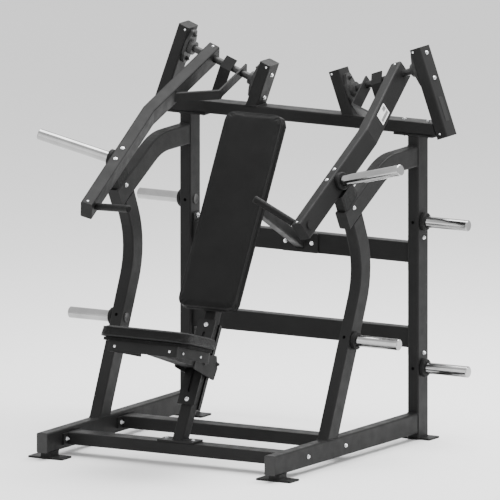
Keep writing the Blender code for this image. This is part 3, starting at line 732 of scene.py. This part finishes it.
def arm_axes():
    """The ways of the arm's first run and its front run, and the front run's up round the mitre."""
    first = (ARM_ELBOW - ARM_HUB).normalized()
    front = (ARM_TIP - ARM_ELBOW).normalized()
    mitre = (first + front).normalized()
    across = Vector((1, 0, 0))
    across = across - 2 * across.dot(mitre) * mitre
    return first, front, front.cross(across)


def arm_details(name):
    """Button heads on the arm's top and its end screws."""
    first, front, up = arm_axes()
    bolts = bmesh.new()
    for distance in (0.26, 0.33):
        top = ARM_ELBOW + front * distance + up * (TUBE_D / 2)
        button_head(bolts, along(name, *top), heading(name, *up), ARM_SCREW_R)
    tip = ARM_TIP - front * 0.014 + up * (TUBE_D / 2)
    button_head(bolts, along(name, *tip), heading(name, *up), SMALL_SCREW_R)
    rise = Vector((1, 0, 0)).cross(first)
    if rise.z < 0:
        rise = -rise
    head = ARM_HUB - first * 0.022 + rise * (TUBE_D / 2)
    button_head(bolts, along(name, *head), heading(name, *rise), SMALL_SCREW_R)
    piece(f"{name}_arm_bolts", bolts, ZINC, f"{name}_arm")


def labels():
    """Blank generic plates where the machine carries its plate and its sticker."""
    mesh = bmesh.new()
    origin = along("right", POST_U + TUBE_W / 2, 0, -0.19)
    place = frame_on(origin, heading("right", 1, 0, 0), heading("right", 0, 0, 1))
    slab(mesh, place, 0.03, 0.105, 0.0012, 0.004)
    piece("post_plate", mesh, BLACK_PLASTIC, "frame")
    first, _, _ = arm_axes()
    rise = heading("right", *first.cross(Vector((-1, 0, 0))))
    middle = ARM_HUB + first * 0.285 + Vector((TUBE_W / 2, 0, 0))
    place = frame_on(along("right", *middle), heading("right", 1, 0, 0), rise)
    mesh = bmesh.new()
    slab(mesh, place, 0.088, 0.052, 0.0006, 0.003)
    piece("arm_label", mesh, LABEL, "right_arm")
    mesh = bmesh.new()
    slab(mesh, place @ Matrix.Translation((0, 0.012, 0.0007)), 0.074, 0.014, 0.0004, 0.002)
    slab(mesh, place @ Matrix.Translation((-0.024, -0.011, 0.0007)), 0.026, 0.018, 0.0004, 0.002)
    piece("arm_label_bands", mesh, LABEL_BAND, "right_arm")


# ---------------------------------------------------------------- seat


def seat_details():
    """Bolts of the carriage's side plates and the tray's small screws."""
    dark, bright = bmesh.new(), bmesh.new()
    facing = SEAT_FRAME.to_3x3() @ Vector((0, -1, 0))
    for x in (-0.132, 0.132):
        button_head(bright, SEAT_FRAME @ Vector((x, 0.03, TRAY_SCREW_Z)), facing, TRAY_SCREW_R)
    for side in (-1, 1):
        way = Vector((side, 0, 0))
        for y, z in ((-0.0185, 0.338), (0.088, 0.375)):
            hex_bolt(dark, SPINE_FRAME @ Vector((side * 0.0475, y, z)), way, 0.0065)
        for y in (0.09, 0.24):
            button_head(bright, SEAT_FRAME @ Vector((side * 0.165, y, TRAY_SCREW_Z)), way, TRAY_SCREW_R)
    piece("seat_bolts", dark, CASTING, "seat")
    piece("seat_tray_screws", bright, ZINC, "seat")


# ---------------------------------------------------------------- pads


def swollen(name, source, held_at, cap, body):
    """A padded copy of a CAD solid: remeshed, blown up as cloth with its back held, then applied."""
    made = bpy.data.objects.new(name, source.data.copy())
    bpy.context.scene.collection.objects.link(made)
    remesh = made.modifiers.new("remesh", "REMESH")
    remesh.mode = "VOXEL"
    remesh.voxel_size = VOXEL
    bake(made)
    mesh = made.data
    for vertex, normal in [(v, v.normal.copy()) for v in mesh.vertices]:
        vertex.co -= normal * CUSHION_INSET
    held = made.vertex_groups.new(name="held")
    held.add([v.index for v in mesh.vertices if held_at(v.co)], 1.0, "ADD")
    start = [v.co.copy() for v in mesh.vertices]
    cloth = made.modifiers.new("cloth", "CLOTH")
    cloth.settings.use_pressure = True
    cloth.settings.uniform_pressure_force = CLOTH_PRESSURE
    cloth.settings.effector_weights.gravity = 0
    cloth.settings.vertex_group_mass = "held"
    cloth.settings.tension_stiffness = CLOTH_STIFFNESS
    cloth.settings.compression_stiffness = CLOTH_STIFFNESS
    cloth.point_cache.frame_start = 1
    cloth.point_cache.frame_end = CLOTH_FRAMES
    scene = bpy.context.scene
    for step in range(1, CLOTH_FRAMES + 1):
        scene.frame_set(step)
    bake(made)
    for vertex, before in zip(made.data.vertices, start):
        moved = vertex.co - before
        if moved.length > cap:
            vertex.co = before + moved.normalized() * cap
    scene.frame_set(1)
    made.data.materials.clear()
    made.data.materials.append(VINYL)
    made.data.shade_smooth()
    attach(made, body)
    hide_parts(source.name)
    smooth = made.modifiers.new("smooth", "SUBSURF")
    smooth.levels = 1
    smooth.render_levels = 1
    return made


def bake(obj):
    """The object's modifiers, applied."""
    graph = bpy.context.evaluated_depsgraph_get()
    graph.update()
    result = bpy.data.meshes.new_from_object(obj.evaluated_get(graph))
    obj.modifiers.clear()
    obj.data = result


def surface_tree(obj):
    mesh = bmesh.new()
    mesh.from_mesh(obj.data)
    tree = BVHTree.FromBMesh(mesh)
    mesh.free()
    return tree


def piping(name, pad, loop, body):
    """A welt laid on the finished pad, along the loop's nearest line on its surface; its lighter vinyl is a
    painted highlight along the pad's edge.
    """
    tree = surface_tree(pad)
    points = []
    for point in resampled(loop, 0.006):
        near, normal, _, _ = tree.find_nearest(point)
        points.append(near + normal * WELT_R * 0.35)
    for _ in range(WELT_SMOOTHING):
        count = len(points)
        points = [(points[i - 1] + points[i] * 2 + points[(i + 1) % count]) / 4 for i in range(count)]
    mesh = bmesh.new()
    closed_tube(mesh, points, lambda index: WELT_R, 8)
    piece(name, mesh, PIPING_PAINTED_HIGHLIGHT, body, angle=80)


def back_pad():
    board_face = SPINE_FRAME @ Vector((0, -0.0126, 0))
    backwards = SPINE_FRAME.to_3x3() @ Vector((0, 1, 0))
    source = frame["nodes"]["back_pad"]
    pad = swollen(
        "back_cushion",
        source,
        lambda p: (p - board_face).dot(backwards) > -HELD_DEPTH,
        BACK_SWELL,
        "frame",
    )
    inverse = SPINE_FRAME.inverted()
    corners = [inverse @ v.co for v in source.data.vertices]
    reach = [(min(c[i] for c in corners), max(c[i] for c in corners)) for i in range(3)]
    width, tall = reach[0][1] - reach[0][0], reach[2][1] - reach[2][0]
    middle = (reach[2][0] + reach[2][1]) / 2
    for label, y in (("front", reach[1][0] + 0.002), ("rear", reach[1][1] - 0.008)):
        place = SPINE_FRAME @ Matrix.Translation((0, y, middle)) @ turn(math.pi / 2, "X")
        loop = [place @ p for p in outline_points(width - 0.004, tall - 0.004, 0.034, 0.008)]
        piping(f"back_cushion_{label}_welt", pad, loop, "frame")


def seat_pad():
    board_face = SEAT_FRAME @ Vector((0, 0, 0.0123))
    upwards = SEAT_FRAME.to_3x3() @ Vector((0, 0, 1))
    source = frame["nodes"]["seat_pad"]
    pad = swollen(
        "seat_cushion",
        source,
        lambda p: (p - board_face).dot(upwards) < HELD_DEPTH,
        SEAT_SWELL,
        "seat",
    )
    for label, height in (("top", SEAT_T - 0.002), ("lower", 0.02)):
        loop = seat_loop(source, height)
        piping(f"seat_cushion_{label}_welt", pad, loop, "seat")


def seat_loop(source, height):
    """The seat's outline at a height over its underside, from the CAD solid's own rim."""
    inverse = SEAT_FRAME.inverted()
    rim = []
    for vertex in source.data.vertices:
        point = inverse @ vertex.co
        if 0.01 < point.z < 0.062:
            rim.append(point)
    centre = Vector((0, sum(p.y for p in rim) / len(rim), 0))
    rim.sort(key=lambda p: math.atan2(p.y - centre.y, p.x - centre.x))
    spaced = []
    for point in rim:
        flat = Vector((point.x, point.y, height))
        if not spaced or (flat - spaced[-1]).length > 0.002:
            spaced.append(flat)
    return [SEAT_FRAME @ point for point in spaced]


# ---------------------------------------------------------------- studio


def studio():
    mesh = bmesh.new()
    half = 40
    corners = ((-half, -half), (half, -half), (half, half), (-half, half))
    mesh.faces.new([mesh.verts.new((x, y, 0)) for x, y in corners])
    data = bpy.data.meshes.new("studio_floor")
    mesh.to_mesh(data)
    mesh.free()
    data.materials.append(floor_surface())
    floor = bpy.data.objects.new("studio_floor", data)
    bpy.context.scene.collection.objects.link(floor)
    world = bpy.data.worlds.new("studio_world")
    world.use_nodes = True
    background = world.node_tree.nodes["Background"]
    background.inputs["Color"].default_value = (1, 1, 1, 1)
    background.inputs["Strength"].default_value = 1.25
    bpy.context.scene.world = world
    soft_light("top_light", (0.6, 1.2, 4.2), (0, 0, 0.6), 4.4, 520)
    soft_light("right_light", (4.2, -0.6, 2.4), (0, 0, 0.8), 2.6, 14)
    soft_light("front_light", (-1.6, -4.4, 1.6), (0, 0, 0.8), 2.6, 32)


def soft_light(name, place, target, size, power):
    data = bpy.data.lights.new(name, "AREA")
    data.size = size
    data.energy = power
    lamp = bpy.data.objects.new(name, data)
    lamp.location = place
    lamp.rotation_euler = (Vector(place) - Vector(target)).to_track_quat("Z", "Y").to_euler()
    bpy.context.scene.collection.objects.link(lamp)


def camera():
    """A distant view from the front right, 30 degrees round and 10 degrees up, with no perspective."""
    data = bpy.data.cameras.new("camera")
    data.type = "ORTHO"
    data.ortho_scale = 2.0833
    target = at(0, -0.4075, 0.8166)
    azimuth, elevation = math.radians(30), math.radians(10)
    way = Vector(
        (
            math.sin(azimuth) * math.cos(elevation),
            -math.cos(azimuth) * math.cos(elevation),
            math.sin(elevation),
        )
    )
    view = bpy.data.objects.new("camera", data)
    view.location = target + way * 6
    view.rotation_euler = way.to_track_quat("Z", "Y").to_euler()
    bpy.context.scene.collection.objects.link(view)
    bpy.context.scene.camera = view


camera()
studio()
finish_nodes()
for side_name, side_sign in SIDES.items():
    frame_bolts(side_name, side_sign)
    peg_fixings(side_name, side_sign)
    frame_welds(side_name, side_sign)
    rail_caps(side_name, side_sign)
    post_details(side_name)
    arm_details(side_name)
centre_details()
labels()
seat_details()
back_pad()
seat_pad()
